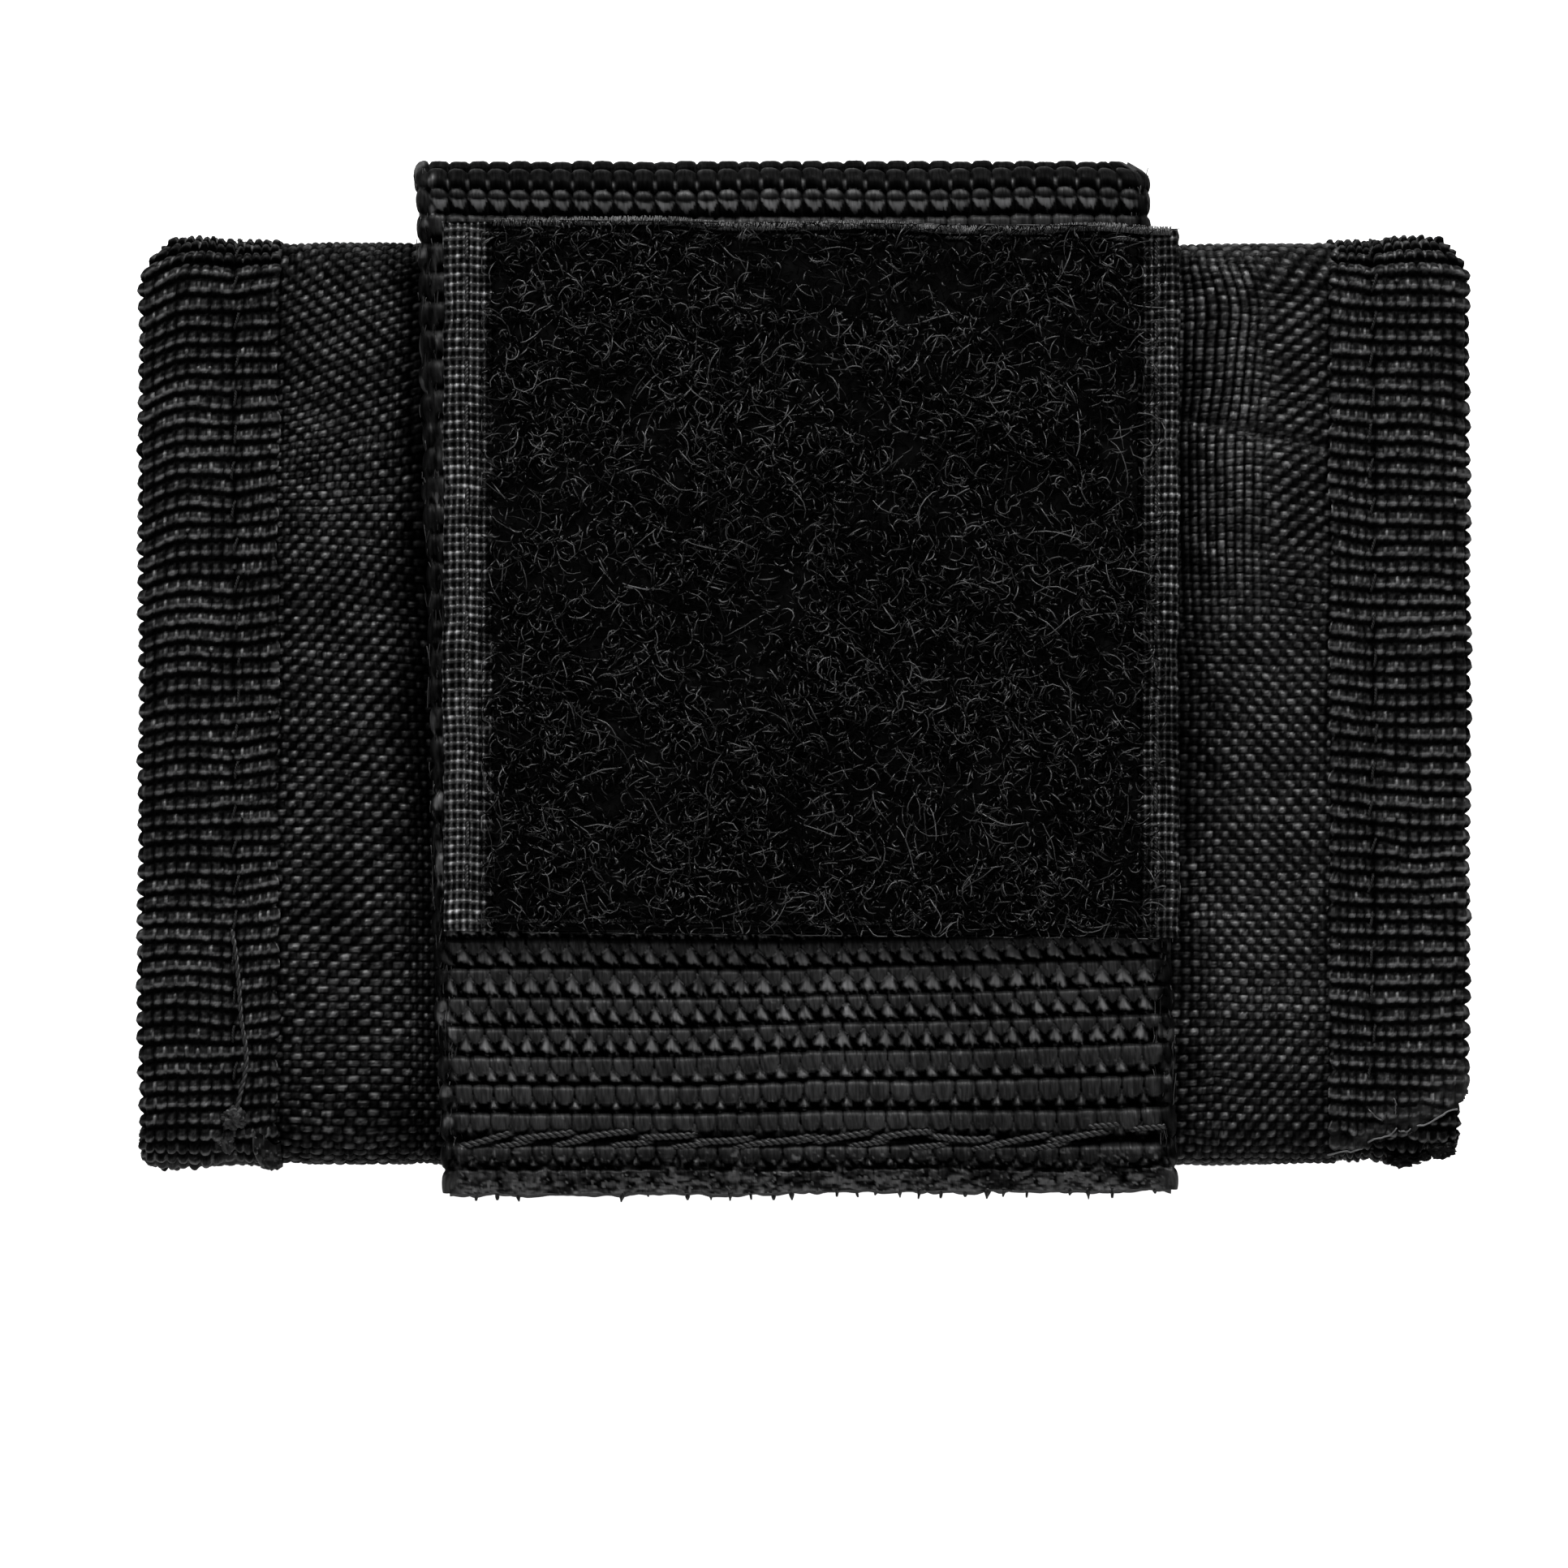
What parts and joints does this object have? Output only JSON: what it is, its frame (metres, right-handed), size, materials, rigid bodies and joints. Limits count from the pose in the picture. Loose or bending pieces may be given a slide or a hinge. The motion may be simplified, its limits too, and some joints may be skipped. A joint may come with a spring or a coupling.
{
  "type": "packed tourniquet in a belt carrier",
  "caption": "Compact windlass tourniquet folded in a black fabric belt carrier with a wide elastic band and a hook-and-loop front panel.",
  "frame": {"origin": "centre of the sleeve in X and Y, on the rear face of the elastic band, which rests on the floor", "axes": "+X towards the mouth the tourniquet leaves by, +Y towards the band's top fold, +Z out of the front face"},
  "size_m": [0.0922, 0.0714, 0.0272],
  "materials": {
    "pack_cloth": "black plain-weave woven nylon, matte",
    "binding": "black ribbed narrow woven tape, slight sheen",
    "elastic": "black coarse ribbed woven elastic",
    "loop_pile": "black hook-and-loop loop pile, matte and fuzzy",
    "thread": "black bonded twisted sewing thread",
    "webbing": "black woven nylon webbing",
    "polymer": "black moulded nylon, fine texture",
    "alloy": "dark anodised aluminium, satin",
    "label_white": "blank off-white woven write-on label",
    "tab_red": "red folded webbing"
  },
  "bodies": {
    "carrier": {"sleeve_shell": "pack_cloth", "edge_binding_left": "binding", "edge_binding_right": "binding", "binding_thread_left": "thread", "binding_thread_right": "thread", "elastic_band": "elastic", "loop_panel": "loop_pile", "loop_panel_thread": "thread", "band_front_seam": "thread", "band_rear_seam": "thread", "sleeve_bottom_seam": "thread"},
    "folded_tourniquet": {"main_strap": "webbing", "base_plate": "polymer", "bartack_plate_rear": "thread", "bartack_plate_front": "thread", "time_label": "label_white", "buckle_frame": "polymer", "buckle_anchor": "webbing"},
    "windlass": {"windlass_rod": "alloy", "tension_ribbon": "webbing"},
    "keeper": {"rod_keeper": "polymer"},
    "floating_bar": {"buckle_bar": "alloy"},
    "pull_tab": {"pull_tab": "tab_red", "pull_tab_thread": "thread"}
  },
  "joints": [
    {"name": "pack_slide", "type": "slide", "parent": "carrier", "child": "folded_tourniquet", "axis": [1, 0, 0], "range_m": [0, 0.105]},
    {"name": "windlass_turn", "type": "hinge", "parent": "folded_tourniquet", "child": "windlass", "pos_m": [0, 0, 0.0189], "axis": [0, 0, 1], "continuous": true},
    {"name": "keeper_slide", "type": "slide", "parent": "folded_tourniquet", "child": "keeper", "axis": [1, 0, 0], "range_m": [0, 0.0022]},
    {"name": "pull_tab_flip", "type": "hinge", "parent": "folded_tourniquet", "child": "pull_tab", "pos_m": [0.0447, 0, 0.0091], "axis": [0, 1, 0], "range_deg": [0, 90]},
    {"name": "bar_slide", "type": "slide", "parent": "folded_tourniquet", "child": "floating_bar", "axis": [1, 0, 0], "range_m": [0, 0.0028]}
  ]
}
